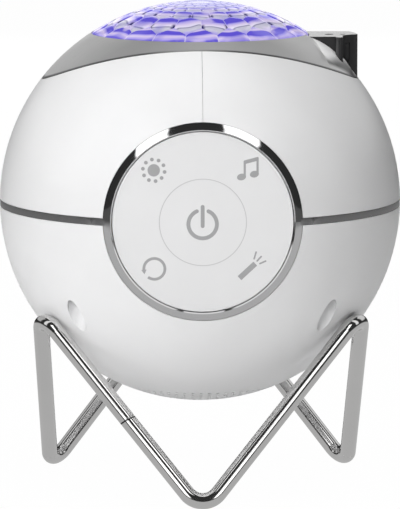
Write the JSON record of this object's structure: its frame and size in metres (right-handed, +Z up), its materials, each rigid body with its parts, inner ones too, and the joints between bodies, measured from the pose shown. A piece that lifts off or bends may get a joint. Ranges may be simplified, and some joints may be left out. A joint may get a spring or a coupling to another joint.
{
  "type": "star night light projector",
  "caption": "Ball-shaped star projector night light with a faceted dome lens, a laser head, a round control panel and a speaker, tilting in a crown of bent steel rod.",
  "frame": {"origin": "on the floor, under the centre of the ball", "axes": "+Z up, the control panel faces -Y, the laser head is on the +X side of the lens"},
  "size_m": [0.15, 0.1424, 0.1808],
  "materials": {
    "shell_white": "satin moulded",
    "panel_white": "fine satin",
    "chrome_trim": "mirror plated",
    "rod_steel": "polished",
    "screw_steel": "plain",
    "bezel_silver": "silver paint",
    "lens_clear": "faceted clear plastic",
    "seal_rubber": "soft",
    "head_black": "high gloss",
    "window_glass": "clear",
    "receiver_dark": "tinted",
    "brass": "turned",
    "grating_film": "film",
    "chip_black": "moulded",
    "wheel_clear": "rippled clear plastic",
    "chamber_white": "reflector white",
    "lamp_aluminium": "white coated",
    "led_yellow": "phosphor",
    "sink_aluminium": "extruded",
    "zinc_steel": "zinc plated",
    "gear_plastic": "acetal",
    "deck_plastic": "moulded",
    "board_green": "solder mask",
    "speaker_black": "paper",
    "magnet_grey": "ferrite and plate"
  },
  "bodies": {
    "cradle": {"stand_rod": "rod_steel", "joint_dowel": "screw_steel"},
    "ball": {"lower_shell": "shell_white", "upper_shell_left": "shell_white", "upper_shell_right": "shell_white", "equator_trim": "chrome_trim", "shell_screws": "screw_steel", "panel_ring": "chrome_trim", "panel_carrier": "chamber_white", "carrier_screws": "screw_steel", "key_board": "board_green", "key_switches": "chip_black", "top_bezel": "bezel_silver", "dome_lens": "lens_clear", "lens_gasket": "seal_rubber", "laser_head": "head_black", "laser_window": "window_glass", "laser_module": "brass", "star_grating": "grating_film", "receiver_window": "receiver_dark", "ir_receiver": "chip_black", "light_chamber": "chamber_white", "lamp_board": "lamp_aluminium", "lamp_leds": "led_yellow", "heat_sink": "sink_aluminium", "motor_bracket": "zinc_steel", "gear_motor": "zinc_steel", "chassis_deck": "deck_plastic", "main_board": "board_green", "board_parts": "chip_black", "board_screws": "brass", "speaker_baffle": "deck_plastic", "speaker_frame": "zinc_steel", "speaker_cone": "speaker_black", "speaker_magnet": "magnet_grey", "speaker_screws": "screw_steel", "power_inlet": "chip_black", "inlet_pin": "brass", "inlet_nut": "zinc_steel"},
    "power_button": {"power_button": "panel_white"},
    "function_plate": {"function_plate": "panel_white"},
    "effect_wheel": {"effect_wheel": "wheel_clear"},
    "motor_rotor": {"motor_shaft": "screw_steel", "motor_pinion": "gear_plastic"}
  },
  "joints": [
    {"name": "ball_tilt", "type": "hinge", "parent": "cradle", "child": "ball", "pos_m": [0, 0, 0.10594], "axis": [1, 0, 0], "range_deg": [-45, 45]},
    {"name": "power_press", "type": "slide", "parent": "ball", "child": "power_button", "axis": [0, 1, 0], "range_m": [0, 0.0006], "stiffness_N_per_m": 1500},
    {"name": "function_rock", "type": "hinge", "parent": "ball", "child": "function_plate", "pos_m": [0, -0.06384, 0.10594], "axis": [0.7071, 0, 0.7071], "range_deg": [-1.1, 1.1], "stiffness_Nm_per_rad": 2},
    {"name": "wheel_spin", "type": "hinge", "parent": "ball", "child": "effect_wheel", "pos_m": [0, 0, 0.15704], "axis": [0, 0, 1], "continuous": true},
    {"name": "rotor_spin", "type": "hinge", "parent": "ball", "child": "motor_rotor", "pos_m": [0, 0.0336, 0.15704], "axis": [0, 0, 1], "continuous": true}
  ],
  "couplings": [
    {"joint": "rotor_spin", "follows": "wheel_spin", "ratio": -6}
  ]
}
